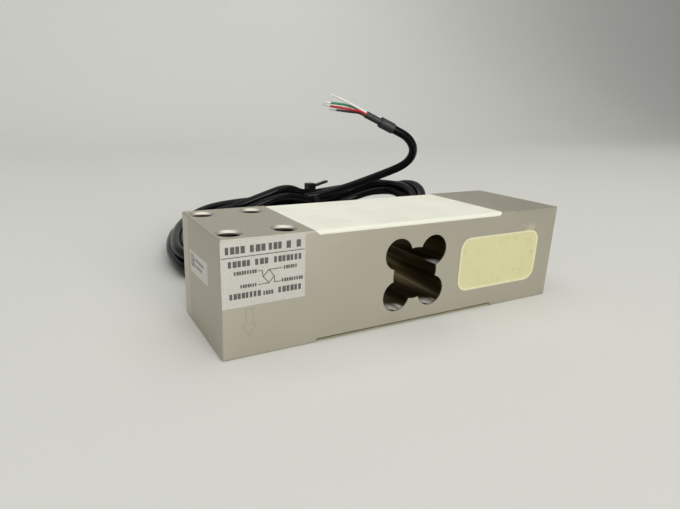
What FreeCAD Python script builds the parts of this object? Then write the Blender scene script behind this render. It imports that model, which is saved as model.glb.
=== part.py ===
"""Single point load cell: a milled aluminium block that bends over four thin sections.

Frame: millimetres, +X from the loaded end to the fixed end, +Y from the labelled front to the back, where
the cable leaves, +Z up. The origin is at the middle of the block's underside.
"""

import FreeCAD, Part

import math
import os
import re

import Sketcher
from FreeCAD import Placement, Rotation, Vector

SIZES = [
    # the block and its recesses for the gauges
    ("block_length", 150.0), ("block_width", 45.0), ("block_height", 40.0), ("edge_break", 0.4),
    ("recess_length", 85.0), ("recess_depth", 1.5),
    # the clover cut-out: a middle hole and four corner holes that leave the thin sections
    ("middle_hole_radius", 10.0), ("corner_hole_radius", 6.0), ("corner_hole_offset", 8.0),
    # the two patterns of four tapped holes
    ("holes_from_end", 15.0), ("hole_spacing_along", 19.0), ("hole_spacing_across", 30.0),
    ("tap_drill_diameter", 6.8), ("hole_depth", 18.0), ("countersink_diameter", 9.2),
    # the potting pocket, with the passages and the cable bore that open into it
    ("pocket_length", 43.5), ("pocket_height", 22.0), ("pocket_depth", 3.4), ("pocket_corner", 5.0),
    ("pocket_from_end", 9.8), ("potting_proud", 0.15),
    ("passage_diameter", 2.0), ("passage_inset", 2.0), ("passage_from_pocket_side", 8.0),
    ("passage_overrun", 1.0),
    ("cable_diameter", 5.2), ("cable_clearance", 0.1), ("jacket_inset", 26.5),
    ("seal_seat_diameter", 9.0), ("seal_seat_depth", 6.0), ("seal_reach", 8.0), ("seal_tip_wall", 0.9),
    # sealant over the gauges
    ("sealant_inset", 0.3), ("sealant_margin", 0.1), ("sealant_shoulder", 1.1),
    # gauges, board and wiring
    ("gauge_length", 9.0), ("gauge_width", 6.0), ("gauge_thickness", 0.15),
    ("gauge_lead_diameter", 0.45), ("gauge_lead_pitch", 0.6), ("gauge_lead_bend", 0.8),
    ("gauge_lead_lift", 0.1),
    ("board_length", 25.0), ("board_height", 12.0), ("board_thickness", 1.0),
    ("board_from_pocket_side", 5.5), ("lead_on_board", 2.0),
    ("resistor_length", 3.2), ("resistor_height", 1.6), ("resistor_thickness", 0.6),
    ("resistor_pitch", 3.4),
    ("core_end_diameter", 0.96), ("core_end_bundle", 1.06), ("core_end_pitch", 1.7), ("core_end_bend", 1.2),
    ("core_end_fan", 6.65), ("core_end_landing", 1.5), ("core_on_board", 2.5),
    # labels
    ("label_length", 28.5), ("label_height", 21.6), ("label_thickness", 0.1), ("label_inset", 0.3),
    ("label_turn", -0.6),
    ("sticker_length", 21.4), ("sticker_height", 7.8), ("sticker_middle", 25.0), ("sticker_offset", 1.7),
    ("sticker_turn", -2.0),
    # the coil of cable and its tie
    ("coil_middle_along", 22.0), ("coil_middle_across", 98.0), ("coil_turn", 5.0),
    ("coil_half_straight", 43.0), ("coil_end_radius", 38.0), ("coil_band", 22.0), ("coil_thickness", 24.0),
    ("tie_along", 20.0), ("tie_width", 3.6), ("tie_thickness", 1.2),
    ("tie_head", 5.5), ("tie_head_height", 4.4),
    ("tie_tail_length", 12.0), ("tie_tail_width", 2.9), ("tie_tail_rise", 14.0),
    # the stripped end of the cable
    ("outer_sleeve_length", 9.0), ("outer_sleeve_wall", 0.55), ("inner_sleeve_length", 14.0),
    ("inner_sleeve_diameter", 4.1), ("inner_sleeve_hidden", 4.0),
    ("conductor_diameter", 1.3), ("conductor_ring", 1.05), ("conductor_straight", 4.0),
    ("drain_wire_diameter", 0.6),
    ("tinned_end_diameter", 0.8), ("tinned_end_length", 4.5),
]

# The free cable's route: out of the block and into the coil, and from the coil to the stripped end.
LEAD_ROUTE = [(60, -4, 20), (60, 38, 20), (51, 53.5, 18), (35.5, 62.5, 15.5), (17, 60.5, 12.5)]
TAIL_ROUTE = [
    (30.4, 136, 19.5), (42.3, 133, 22.6), (55.9, 125, 27.9), (76.9, 110, 38.6), (86.5, 97, 44.8),
    (86.2, 90, 53.7), (79.4, 88.5, 61.5), (71.2, 90.5, 65.5), (65, 92.5, 68.5),
]
# Where the conductors end, fanned out beyond the inner sleeve, and the height of each one's belly.
CONDUCTOR_ROUTES = {
    "white_conductor": [(42.9, 98.5, 80.3), (36.1, 100.5, 83.2)],
    "green_conductor": [(43.1, 101.0, 79.4), (32.5, 102.5, 80.3)],
    "red_conductor": [(39.5, 96.0, 77.1), (28.8, 96.5, 78.5)],
    "black_conductor": [(41.8, 97.2, 75.6), (33.6, 98.0, 76.4)],
}
DRAIN_ROUTE = [(41.7, 98.4, 78.2), (32.1, 99.4, 79.0)]

doc = FreeCAD.newDocument("single_point_load_cell")
sheet = doc.addObject("Spreadsheet::Sheet", "sizes")
for row, (name, value) in enumerate(SIZES, start=1):
    sheet.set(f"A{row}", name)
    sheet.set(f"B{row}", str(value))
    sheet.setAlias(f"B{row}", name)
doc.recompute()

NODES = []
X, Y, Z = Vector(1, 0, 0), Vector(0, 1, 0), Vector(0, 0, 1)


def size(name):
    """A driving dimension, as the sheet holds it."""
    return float(sheet.get(name))


def formula(text):
    """An expression for the sheet: block_length/2 becomes sizes.block_length/2."""
    names = {name for name, _ in SIZES}
    return re.sub(r"[a-z_]+", lambda word: f"sizes.{word[0]}" if word[0] in names else word[0], text)


def bind(thing, **texts):
    """Bind properties to formulas; two underscores stand for a dot in a property's path."""
    for name, text in texts.items():
        thing.setExpression(name.replace("__", "."), formula(text))


def add(kind, label, place=("0", "0", "0"), turn=None, **texts):
    """A document object with its label, its place and its bound sizes."""
    thing = doc.addObject(kind, label)
    thing.Label = label
    if turn is not None:
        thing.Placement = Placement(Vector(), turn)
    x, y, z = place
    bind(thing, Placement__Base__x=x, Placement__Base__y=y, Placement__Base__z=z, **texts)
    return thing


def joined(kind, label, parts):
    """A compound or a fusion of several objects."""
    thing = doc.addObject(kind, label)
    thing.Label = label
    setattr(thing, "Links" if kind == "Part::Compound" else "Shapes", parts)
    return thing


def cut(label, base, tool):
    """The base with the tool taken out of it."""
    thing = doc.addObject("Part::Cut", label)
    thing.Label = label
    thing.Base, thing.Tool = base, tool
    return thing


def feature(label, shape):
    """An object whose shape is made here, from sizes read from the sheet."""
    thing = doc.addObject("Part::Feature", label)
    thing.Label = label
    thing.Shape = shape
    return thing


def node(thing):
    """Mark an object as a sub-part that is written to its own file."""
    NODES.append(thing)
    return thing


# ---------------------------------------------------------------- sketches


def sketch_on(body, name, role, right="0", up="0", out="0", turned=0.0):
    """A sketch on one of the body's own origin planes, moved by formulas in the plane's directions."""
    sketch = body.newObject("Sketcher::SketchObject", name)
    plane = [part for part in body.Origin.OriginFeatures if part.Role == role][0]
    sketch.AttachmentSupport = [(plane, "")]
    sketch.MapMode = "FlatFace"
    sketch.AttachmentOffset = Placement(Vector(), Rotation(Z, turned))
    bind(sketch, AttachmentOffset__Base__x=right, AttachmentOffset__Base__y=up)
    bind(sketch, AttachmentOffset__Base__z=out)
    return sketch


def value(sketch, text):
    """The present value of a formula."""
    return float(sketch.evalExpression(formula(text)))


def drive(sketch, kind, *where):
    """Add a constraint whose size, the last item, is a formula."""
    *where, text = where
    number = sketch.addConstraint(Sketcher.Constraint(kind, *where, value(sketch, text)))
    sketch.setExpression(f"Constraints[{number}]", formula(text))


def relate(sketch, *rows):
    """Add constraints that carry no size."""
    for row in rows:
        sketch.addConstraint(Sketcher.Constraint(*row))


def polygon(sketch, corners):
    """A closed run of lines through the corners, joined end to end."""
    count = len(corners)
    for start, end in zip(corners, corners[1:] + corners[:1]):
        sketch.addGeometry(Part.LineSegment(Vector(*start), Vector(*end)))
    for line in range(count):
        relate(sketch, ("Coincident", line, 2, (line + 1) % count, 1))


def rectangle(sketch, width, height):
    """A rectangle centred on the sketch's origin."""
    w, t = value(sketch, width) / 2, value(sketch, height) / 2
    polygon(sketch, [(-w, -t), (w, -t), (w, t), (-w, t)])
    relate(sketch, ("Horizontal", 0), ("Vertical", 1), ("Horizontal", 2), ("Vertical", 3))
    relate(sketch, ("Symmetric", 0, 1, 2, 1, -1, 1))
    drive(sketch, "DistanceX", 0, 1, 0, 2, width)
    drive(sketch, "DistanceY", 1, 1, 1, 2, height)


def trapezoid(sketch, foot, top, height):
    """A trapezoid that stands on the sketch's horizontal axis, centred on the vertical one."""
    f, t, rise = value(sketch, foot) / 2, value(sketch, top) / 2, value(sketch, height)
    polygon(sketch, [(-f, 0), (f, 0), (t, rise), (-t, rise)])
    relate(sketch, ("Symmetric", 0, 1, 0, 2, -1, 1), ("Symmetric", 2, 1, 2, 2, -2))
    drive(sketch, "DistanceX", 0, 1, 0, 2, foot)
    drive(sketch, "DistanceX", 2, 2, 2, 1, top)
    drive(sketch, "DistanceY", 0, 1, 2, 2, height)


def rounded_rectangle(sketch, width, height, radius):
    """A rectangle with rounded corners, centred on the sketch's origin."""
    w, t, r = value(sketch, width) / 2, value(sketch, height) / 2, value(sketch, radius)
    a, b = w - r, t - r
    centres = [(a, -b), (a, b), (-a, b), (-a, -b)]
    for start, end in (((-a, -t), (a, -t)), ((w, -b), (w, b)), ((a, t), (-a, t)), ((-w, b), (-w, -b))):
        sketch.addGeometry(Part.LineSegment(Vector(*start, 0), Vector(*end, 0)))
    for corner, centre in enumerate(centres):
        circle = Part.Circle(Vector(*centre, 0), Z, r)
        first = math.radians(90 * corner - 90)
        sketch.addGeometry(Part.ArcOfCircle(circle, first, first + math.pi / 2))
    for side in range(4):
        arc = 4 + side
        relate(sketch, ("Tangent", side, 2, arc, 1), ("Tangent", arc, 2, (side + 1) % 4, 1))
    relate(sketch, ("Horizontal", 0), ("Vertical", 1), ("Horizontal", 2), ("Vertical", 3))
    relate(sketch, ("Equal", 4, 5), ("Equal", 5, 6), ("Symmetric", 4, 3, 6, 3, -1, 1))
    drive(sketch, "Radius", 4, radius)
    drive(sketch, "DistanceX", 7, 3, 4, 3, f"{width} - 2*{radius}")
    drive(sketch, "DistanceY", 4, 3, 5, 3, f"{height} - 2*{radius}")


def circle(sketch, radius):
    """A circle centred on the sketch's origin."""
    sketch.addGeometry(Part.Circle(Vector(), Z, value(sketch, radius)))
    relate(sketch, ("Coincident", 0, 3, -1, 1))
    drive(sketch, "Radius", 0, radius)


def four_circles(sketch, right, up, radius):
    """Four equal circles at the corners of a rectangle centred on the sketch's origin."""
    x, y, r = value(sketch, right), value(sketch, up), value(sketch, radius)
    for sx, sy in ((1, 1), (-1, 1), (-1, -1), (1, -1)):
        sketch.addGeometry(Part.Circle(Vector(sx * x, sy * y, 0), Z, r))
    relate(sketch, ("Equal", 0, 1), ("Equal", 1, 2), ("Equal", 2, 3))
    relate(sketch, ("Symmetric", 0, 3, 1, 3, -2), ("Symmetric", 0, 3, 2, 3, -1, 1))
    relate(sketch, ("Symmetric", 0, 3, 3, 3, -1))
    drive(sketch, "DistanceX", -1, 1, 0, 3, right)
    drive(sketch, "DistanceY", -1, 1, 0, 3, up)
    drive(sketch, "Radius", 0, radius)


def step(body, kind, name, profile, reverse=False, both_ways=False, **texts):
    """A feature of a body made from a sketch; it stops if it leaves the body as it was."""
    before = body.Shape.Volume if body.Tip else 0.0
    made = body.newObject(kind, name)
    made.Profile = profile
    made.Reversed = reverse
    if both_ways:
        made.SideType = "Symmetric"
    if not texts:
        made.Type = "ThroughAll"
    bind(made, **texts)
    doc.recompute()
    if abs(body.Shape.Volume - before) < 1e-3:
        raise RuntimeError(f"{name} changes nothing")
    return made


def dress(body, kind, name, edges, **texts):
    """A chamfer or fillet along edges of the body as it stands."""
    base = body.Tip
    made = body.newObject(kind, name)
    made.Base = (base, edges)
    bind(made, **texts)
    doc.recompute()


def tapped_holes(body, name, sketch, reverse):
    """Countersunk blind holes at the tapping size."""
    doc.recompute()
    before = body.Shape.Volume
    holes = body.newObject("PartDesign::Hole", name)
    holes.Profile = sketch
    doc.recompute()
    holes.ThreadType, holes.DepthType, holes.HoleCutType = "None", "Dimension", "Countersink"
    holes.DrillPoint, holes.Reversed, holes.HoleCutCustomValues = "Angled", reverse, True
    bind(holes, Diameter="tap_drill_diameter", Depth="hole_depth", HoleCutDiameter="countersink_diameter")
    doc.recompute()
    if body.Shape.Volume > before - 1e-3:
        raise RuntimeError(f"{name} cuts nothing")


# ---------------------------------------------------------------- bent tubes


def rounded_path(points, bend=None):
    """A path of straight runs joined by tangent arcs, as large as the runs allow or of one bend radius."""
    points = [Vector(*point) for point in points]
    edges, radii, start = [], [], points[0]
    for before, corner, after in zip(points, points[1:], points[2:]):
        inward, outward = before - corner, after - corner
        half_turn = (math.pi - inward.getAngle(outward)) / 2
        reach = 0.45 * min(inward.Length, outward.Length)
        if bend is not None:
            reach = min(reach, bend * math.tan(half_turn))
        radius = reach / math.tan(half_turn)
        inward.normalize()
        outward.normalize()
        first, last = corner + inward * reach, corner + outward * reach
        middle = inward + outward
        middle.normalize()
        top = corner + middle * (radius / math.cos(half_turn) - radius)
        edges += [Part.LineSegment(start, first).toShape(), Part.Arc(first, top, last).toShape()]
        radii.append(round(radius, 1))
        start = last
    edges.append(Part.LineSegment(start, points[-1]).toShape())
    return Part.Wire(edges), radii


def tube(path, diameter):
    """A round tube along a path."""
    start, heading = path.Edges[0].valueAt(path.Edges[0].FirstParameter), path.Edges[0].tangentAt(0)
    profile = Part.Wire([Part.Circle(start, heading, diameter / 2).toShape()])
    return path.makePipeShell([profile], True, True)


def rod(start, heading, length, diameter):
    """A round rod from a point."""
    return Part.makeCylinder(diameter / 2, length, start, heading)


# ---------------------------------------------------------------- the block

block = doc.addObject("PartDesign::Body", "spring_element")
block.Label = "spring_element"
node(block)

outline = sketch_on(block, "block_outline", "XY_Plane")
rectangle(outline, "block_length", "block_width")
step(block, "PartDesign::Pad", "billet", outline, Length="block_height")

billet_edges = [f"Edge{number}" for number in range(1, 13)]
dress(block, "PartDesign::Chamfer", "edge_breaks", billet_edges, Size="edge_break")

# The recesses run right across, with floors for the gauges and 45 degree walls at their ends.
RECESSES = (("upper", "block_height - recess_depth", 0.0), ("lower", "recess_depth", 180.0))
for side, up, turned in RECESSES:
    across = sketch_on(block, f"{side}_recess_outline", "XZ_Plane", up=up, turned=turned)
    trapezoid(across, "recess_length - 2*recess_depth", "recess_length", "recess_depth")
    step(block, "PartDesign::Pocket", f"{side}_recess", across, both_ways=True)

# The clover: four corner holes leave the thin sections, and the middle hole joins them.
middle = sketch_on(block, "middle_hole_outline", "XZ_Plane", up="block_height/2")
circle(middle, "middle_hole_radius")
step(block, "PartDesign::Pocket", "middle_hole", middle, both_ways=True)
corners = sketch_on(block, "corner_holes_outline", "XZ_Plane", up="block_height/2")
four_circles(corners, "corner_hole_offset", "corner_hole_offset", "corner_hole_radius")
step(block, "PartDesign::Pocket", "corner_holes", corners, both_ways=True)

POCKET_SIDE = "block_length/2 - pocket_from_end - pocket_length"
POCKET_MIDDLE = f"{POCKET_SIDE} + pocket_length/2"
PASSAGE_ALONG = f"{POCKET_SIDE} + passage_from_pocket_side"
PASSAGE_ACROSS = "passage_inset - block_width/2"
BORE_ALONG = "block_length/2 - holes_from_end"

pocket = sketch_on(block, "pocket_outline", "XZ_Plane", POCKET_MIDDLE, "block_height/2", "block_width/2")
rounded_rectangle(pocket, "pocket_length", "pocket_height", "pocket_corner")
step(block, "PartDesign::Pocket", "pocket", pocket, Length="pocket_depth")

bore = sketch_on(block, "cable_bore_outline", "XZ_Plane", BORE_ALONG, "block_height/2")
circle(bore, "cable_diameter/2 + cable_clearance")
step(block, "PartDesign::Pocket", "cable_bore", bore, both_ways=True)
seat = sketch_on(block, "seal_seat_outline", "XZ_Plane", BORE_ALONG, "block_height/2", "-block_width/2")
circle(seat, "seal_seat_diameter/2")
step(block, "PartDesign::Pocket", "seal_seat", seat, reverse=True, Length="seal_seat_depth")

PASSAGE_REACH = "(block_height - pocket_height)/2 + passage_overrun"
for side, out, upward in (("upper", "block_height", False), ("lower", "0", True)):
    mouth = sketch_on(block, f"{side}_passage_outline", "XY_Plane", PASSAGE_ALONG, PASSAGE_ACROSS, out)
    circle(mouth, "passage_diameter/2")
    step(block, "PartDesign::Pocket", f"{side}_passage", mouth, reverse=upward, Length=PASSAGE_REACH)

for end, along, out, upward in (
    ("loaded", "holes_from_end - block_length/2", "block_height", False),
    ("fixed", "block_length/2 - holes_from_end", "0", True),
):
    pattern = sketch_on(block, f"{end}_end_pattern", "XY_Plane", along, "0", out)
    four_circles(pattern, "hole_spacing_along/2", "hole_spacing_across/2", "tap_drill_diameter/2")
    tapped_holes(block, f"{end}_end_holes", pattern, upward)

# ---------------------------------------------------------------- gauges and wiring

GAUGE_ENDS = (("loaded", "-corner_hole_offset"), ("fixed", "corner_hole_offset"))
GAUGE_SIDES = (
    ("upper", "block_height - recess_depth"),
    ("lower", "recess_depth - gauge_thickness"),
)
gauges = {"upper": [], "lower": []}
for side, floor in GAUGE_SIDES:
    for end, along in GAUGE_ENDS:
        place = (f"{along} - gauge_length/2", "-gauge_width/2", floor)
        gauge = add(
            "Part::Box", f"strain_gauge_{side}_{end}", place,
            Length="gauge_length", Width="gauge_width", Height="gauge_thickness",
        )
        gauges[side].append(node(gauge))

half_length, half_width, height = size("block_length") / 2, size("block_width") / 2, size("block_height")
board_face = size("pocket_depth") - half_width - size("board_thickness")
pocket_side = half_length - size("pocket_from_end") - size("pocket_length")
board_left = pocket_side + size("board_from_pocket_side")
passage_x = pocket_side + size("passage_from_pocket_side")
passage_y = size("passage_inset") - half_width
gauge_tabs = size("corner_hole_offset") + size("gauge_length") / 2
gauge_gap = size("corner_hole_offset") - size("gauge_length") / 2


def gauge_leads(side):
    """Three wires from the gauges along the recess floor, down the passage and onto the board."""
    wire, pitch = size("gauge_lead_diameter"), size("gauge_lead_pitch")
    up = 1 if side == "upper" else -1
    floor = height / 2 + up * (height / 2 - size("recess_depth") + size("gauge_lead_lift") + wire / 2)
    land = height / 2 + up * (size("board_height") / 2 - size("lead_on_board"))
    wires = []
    for shift in (-pitch, 0.0, pitch):
        along = passage_x + shift
        route = [(gauge_tabs, shift, floor), (along, shift, floor)]
        route += [(along, passage_y, floor), (along, passage_y, land)]
        wires.append(tube(rounded_path(route, size("gauge_lead_bend"))[0], wire))
    for shift in (-pitch, pitch):
        wires.append(rod(Vector(-gauge_gap, 2 * shift, floor), X, 2 * gauge_gap, wire))
    return Part.makeCompound(wires)


leads = {side: node(feature(f"{side}_gauge_leads", gauge_leads(side))) for side in ("upper", "lower")}

BOARD_LEFT = f"{POCKET_SIDE} + board_from_pocket_side"
BOARD_FACE = "pocket_depth - block_width/2 - board_thickness"
board = node(add(
    "Part::Box", "terminal_board", (BOARD_LEFT, BOARD_FACE, "block_height/2 - board_height/2"),
    Length="board_length", Width="board_thickness", Height="board_height",
))

resistors = []
for number, row in enumerate(("-1", "0", "1")):
    resistors.append(add(
        "Part::Box", f"resistor_{number}",
        (f"{BOARD_LEFT} + board_length/2 - resistor_length/2", f"{BOARD_FACE} - resistor_thickness",
         f"block_height/2 - resistor_height/2 + {row}*resistor_pitch"),
        Length="resistor_length", Width="resistor_thickness", Height="resistor_height",
    ))
trim = node(joined("Part::Compound", "trim_resistors", resistors))


def core_ends():
    """The cable's four cores, from the stripped jacket in the bore to the board."""
    wire = size("core_end_diameter")
    bore_x, start = half_length - size("holes_from_end"), half_width - size("jacket_inset")
    face = board_face - wire / 2
    land = board_left + size("board_length") - size("core_on_board")
    bundled, fanned = land + size("core_end_fan"), land + size("core_end_landing")
    wires = []
    for row in (-1.5, -0.5, 0.5, 1.5):
        z, spaced = height / 2 + row * size("core_end_bundle"), height / 2 + row * size("core_end_pitch")
        route = [(bore_x, start, z), (bore_x, face, z), (bundled, face, z)]
        route += [(fanned, face, spaced), (land, face, spaced)]
        wires.append(tube(rounded_path(route, size("core_end_bend"))[0], wire))
    return Part.makeCompound(wires)


cores = node(feature("core_ends", core_ends()))

# ---------------------------------------------------------------- sealant and potting

for side, up, turned in RECESSES:
    pour = doc.addObject("PartDesign::Body", f"{side}_pour")
    across = sketch_on(pour, f"{side}_pour_outline", "XZ_Plane", up=up, turned=turned)
    thick, wide = "recess_depth - sealant_margin", "block_width - 2*sealant_inset"
    trapezoid(across, "recess_length - 2*recess_depth", "recess_length - 2*sealant_margin", thick)
    step(pour, "PartDesign::Pad", f"{side}_pour_pad", across, both_ways=True, Length=wide)
    outer = height - size("sealant_margin") if side == "upper" else size("sealant_margin")
    long_edges = [
        f"Edge{number}" for number, edge in enumerate(pour.Shape.Edges, start=1)
        if abs(edge.CenterOfMass.z - outer) < 1e-4 and edge.BoundBox.YLength < 1e-4
    ]
    dress(pour, "PartDesign::Fillet", f"{side}_pour_shoulders", long_edges, Radius="sealant_shoulder")
    inside = joined("Part::Compound", f"under_{side}_sealant", gauges[side] + [leads[side]])
    node(cut(f"{side}_sealant", pour, inside))

pour = doc.addObject("PartDesign::Body", "pocket_pour")
POCKET_FLOOR = "block_width/2 - pocket_depth"
outline = sketch_on(pour, "pocket_pour_outline", "XZ_Plane", POCKET_MIDDLE, "block_height/2", POCKET_FLOOR)
rounded_rectangle(outline, "pocket_length", "pocket_height", "pocket_corner")
step(pour, "PartDesign::Pad", "pocket_pour_pad", outline, Length="pocket_depth + potting_proud")
inside = joined("Part::Compound", "under_potting", [board, trim, cores, leads["upper"], leads["lower"]])
node(cut("pocket_potting", pour, inside))

# ---------------------------------------------------------------- labels

LABEL_PLACE = (
    "label_inset - block_length/2", "-block_width/2 - label_thickness",
    "block_height - label_height - 2*label_inset",
)
node(add(
    "Part::Box", "name_label", LABEL_PLACE, Rotation(Y, size("label_turn")),
    Length="label_length", Width="label_thickness", Height="label_height",
))
STICKER_PLACE = (
    "-block_length/2 - label_thickness", "sticker_offset - sticker_length/2",
    "sticker_middle - sticker_height/2",
)
node(add(
    "Part::Box", "end_label", STICKER_PLACE, Rotation(X, size("sticker_turn")),
    Length="label_thickness", Width="sticker_length", Height="sticker_height",
))

# ---------------------------------------------------------------- the cable and its seal

ALONG_Y = Rotation(X, -90)
SEAT_PLACE = (BORE_ALONG, "block_width/2 - seal_seat_depth", "block_height/2")
plug = add(
    "Part::Cylinder", "seal_plug", SEAT_PLACE, ALONG_Y,
    Radius="seal_seat_diameter/2", Height="seal_seat_depth",
)
nose = add(
    "Part::Cone", "seal_nose", (BORE_ALONG, "block_width/2", "block_height/2"), ALONG_Y,
    Radius1="seal_seat_diameter/2", Radius2="cable_diameter/2 + seal_tip_wall", Height="seal_reach",
)
hole = add(
    "Part::Cylinder", "seal_hole", SEAT_PLACE, ALONG_Y,
    Radius="cable_diameter/2 + cable_clearance", Height="seal_seat_depth + seal_reach",
)
node(cut("cable_seal", joined("Part::MultiFuse", "seal_moulding", [plug, nose]), hole))


def coil_ring(band, thickness):
    """A ring round the coil's middle line: two straights and two ends, of an oval section."""
    reach, radius = size("coil_half_straight"), size("coil_end_radius")
    corners = [Vector(sx * reach, sy * radius, 0) for sx, sy in ((-1, 1), (1, 1), (1, -1), (-1, -1))]
    right, left = Vector(reach + radius, 0, 0), Vector(-reach - radius, 0, 0)
    path = Part.Wire([
        Part.LineSegment(corners[0], corners[1]).toShape(),
        Part.Arc(corners[1], right, corners[2]).toShape(),
        Part.LineSegment(corners[2], corners[3]).toShape(),
        Part.Arc(corners[3], left, corners[0]).toShape(),
    ])
    return path.makePipeShell([oval(corners[0], band, thickness)], True, True)


def oval(middle, band, thickness):
    """An oval standing across the X direction: band wide and thickness high."""
    ellipse = Part.Ellipse(Vector(), max(band, thickness) / 2, min(band, thickness) / 2)
    edge = ellipse.toShape()
    edge.Placement = Placement(middle, Rotation(Vector(0, 1, 0), Vector(0, 0, 1), Vector(1, 0, 0), "ZXY"))
    if band < thickness:
        edge.rotate(middle, X, 90)
    return Part.Wire([edge])


def in_coil_place(shape):
    """Move a shape from the coil's own middle to its place behind the block."""
    middle = Vector(size("coil_middle_along"), size("coil_middle_across"), size("coil_thickness") / 2)
    shape.Placement = Placement(middle, Rotation(Z, size("coil_turn"))).multiply(shape.Placement)
    return shape


def tie_shape():
    """The band round the far side of the coil, let into it, with the head on top and the cut tail."""
    band, thickness, wall = size("coil_band"), size("coil_thickness"), size("tie_thickness")
    middle = Vector(size("tie_along"), size("coil_end_radius"), 0)
    wide, head, tail_width = size("tie_width"), size("tie_head"), size("tie_tail_width")
    start, top = middle - X * (wide / 2), Z * (thickness / 2 - wall)
    outer = Part.Face(oval(start, band, thickness)).extrude(X * wide)
    inner = Part.Face(oval(start, band - 2 * wall, thickness - 2 * wall)).extrude(X * wide)
    box = Part.makeBox(head, head, size("tie_head_height") + wall, middle + top - (X + Y) * (head / 2))
    tail = Part.makeBox(size("tie_tail_length"), tail_width, wall)
    tail.rotate(Vector(), Y, -size("tie_tail_rise"))
    tail.translate(middle + top + Vector(wide / 2, -tail_width / 2, head / 2))
    return outer.fuse([box, tail]).cut(inner).removeSplitter()


tie_solid = in_coil_place(tie_shape())
tie = node(feature("cable_tie", tie_solid))
coil_solid = in_coil_place(coil_ring(size("coil_band"), size("coil_thickness"))).cut(tie_solid)
coil = node(feature("cable_coil", coil_solid))

lead_path, lead_radii = rounded_path(LEAD_ROUTE)
tail_path, tail_radii = rounded_path(TAIL_ROUTE)
for name, path, radii in (("cable_lead", lead_path, lead_radii), ("cable_tail", tail_path, tail_radii)):
    whole = tube(path, size("cable_diameter"))
    share = whole.Volume / (math.pi * size("cable_diameter") ** 2 / 4 * path.Length)
    print(f"{name}: length {path.Length:.1f} mm, radii {radii}, volume over section x length {share:.4f}")
    node(feature(name, whole.cut(coil_solid).cut(tie_solid)))

# ---------------------------------------------------------------- the stripped end

jacket_end = Vector(*TAIL_ROUTE[-1])
heading = jacket_end - Vector(*TAIL_ROUTE[-2])
heading.normalize()
sleeve_length = size("outer_sleeve_length")
sleeve_start = jacket_end - heading * (sleeve_length - size("inner_sleeve_hidden"))
sleeve_width = size("cable_diameter") + 2 * size("outer_sleeve_wall")
bore_width = size("cable_diameter") + 2 * size("cable_clearance")
sleeve = rod(sleeve_start, heading, sleeve_length, sleeve_width)
node(feature("outer_heat_shrink", sleeve.cut(rod(sleeve_start, heading, sleeve_length, bore_width))))
inner_sleeve = rod(jacket_end, heading, size("inner_sleeve_length"), size("inner_sleeve_diameter"))
node(feature("inner_heat_shrink", inner_sleeve))

core_start = jacket_end + heading * size("inner_sleeve_length")
sideways = heading.cross(Z)
sideways.normalize()
upward = sideways.cross(heading)
tinned = []
ring, straight = size("conductor_ring"), size("conductor_straight")
for (name, route), (right, up) in zip(CONDUCTOR_ROUTES.items(), ((0, 1), (1, 0), (-1, 0), (0, -1))):
    start = core_start + sideways * (ring * right) + upward * (ring * up)
    points = [tuple(start), tuple(start + heading * straight)] + route
    path = rounded_path(points)[0]
    node(feature(name, tube(path, size("conductor_diameter"))))
    end = Vector(*route[-1])
    onward = end - Vector(*route[-2])
    onward.normalize()
    tinned.append(rod(end, onward, size("tinned_end_length"), size("tinned_end_diameter")))
drain_path = rounded_path([tuple(core_start), tuple(core_start + heading * straight)] + DRAIN_ROUTE)[0]
node(feature("drain_wire", tube(drain_path, size("drain_wire_diameter"))))
node(feature("tinned_ends", Part.makeCompound(tinned)))

# ---------------------------------------------------------------- check and write

doc.recompute()
for thing in doc.Objects:
    if {"Invalid", "Error"} & set(thing.State):
        raise RuntimeError(f"{thing.Label} failed: {thing.State}")
for thing in NODES:
    if thing.Shape.isNull() or not thing.Shape.isValid():
        raise RuntimeError(f"{thing.Label} has no valid shape")

os.makedirs("parts", exist_ok=True)
for thing in NODES:
    thing.Shape.exportStep(f"parts/{thing.Label}.step")
    print(f"{thing.Label}: {len(thing.Shape.Solids)} solid(s), {thing.Shape.Volume:.2f} mm3")
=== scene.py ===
"""Single point load cell: a milled aluminium block, its sealed gauges and pocket, labels and coiled cable.

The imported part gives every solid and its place; this file adds the finishes, the screw threads, the
print on the labels and the turns of the cable. Metres throughout, +Z up, origin under the middle of the block.
"""

import math

import bpy
import numpy as np
from mathutils import Matrix, Vector


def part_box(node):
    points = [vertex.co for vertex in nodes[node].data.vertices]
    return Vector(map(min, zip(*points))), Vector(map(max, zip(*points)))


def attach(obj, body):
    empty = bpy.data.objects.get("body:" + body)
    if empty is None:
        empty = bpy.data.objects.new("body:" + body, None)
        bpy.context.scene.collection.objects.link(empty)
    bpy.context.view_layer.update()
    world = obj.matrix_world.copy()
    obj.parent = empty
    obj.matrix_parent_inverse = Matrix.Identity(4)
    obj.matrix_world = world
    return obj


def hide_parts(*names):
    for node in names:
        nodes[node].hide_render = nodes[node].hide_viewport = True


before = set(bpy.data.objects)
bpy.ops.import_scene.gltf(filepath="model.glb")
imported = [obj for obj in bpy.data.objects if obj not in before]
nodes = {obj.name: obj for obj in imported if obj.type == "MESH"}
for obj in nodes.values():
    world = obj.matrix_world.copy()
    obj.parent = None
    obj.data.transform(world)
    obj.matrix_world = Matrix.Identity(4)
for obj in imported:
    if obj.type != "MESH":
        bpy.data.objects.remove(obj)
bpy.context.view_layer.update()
MM = 0.001

# ---------------------------------------------------------------- camera
# A short lens near the front left corner, a little above the block.

camera_data = bpy.data.cameras.new("camera")
camera_data.sensor_width = 36.0
camera_data.lens = 26.72
camera_data.shift_x = 0.0412
camera_data.clip_start = 0.01
camera = bpy.data.objects.new("camera", camera_data)
bpy.context.scene.collection.objects.link(camera)
bpy.context.scene.camera = camera


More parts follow.
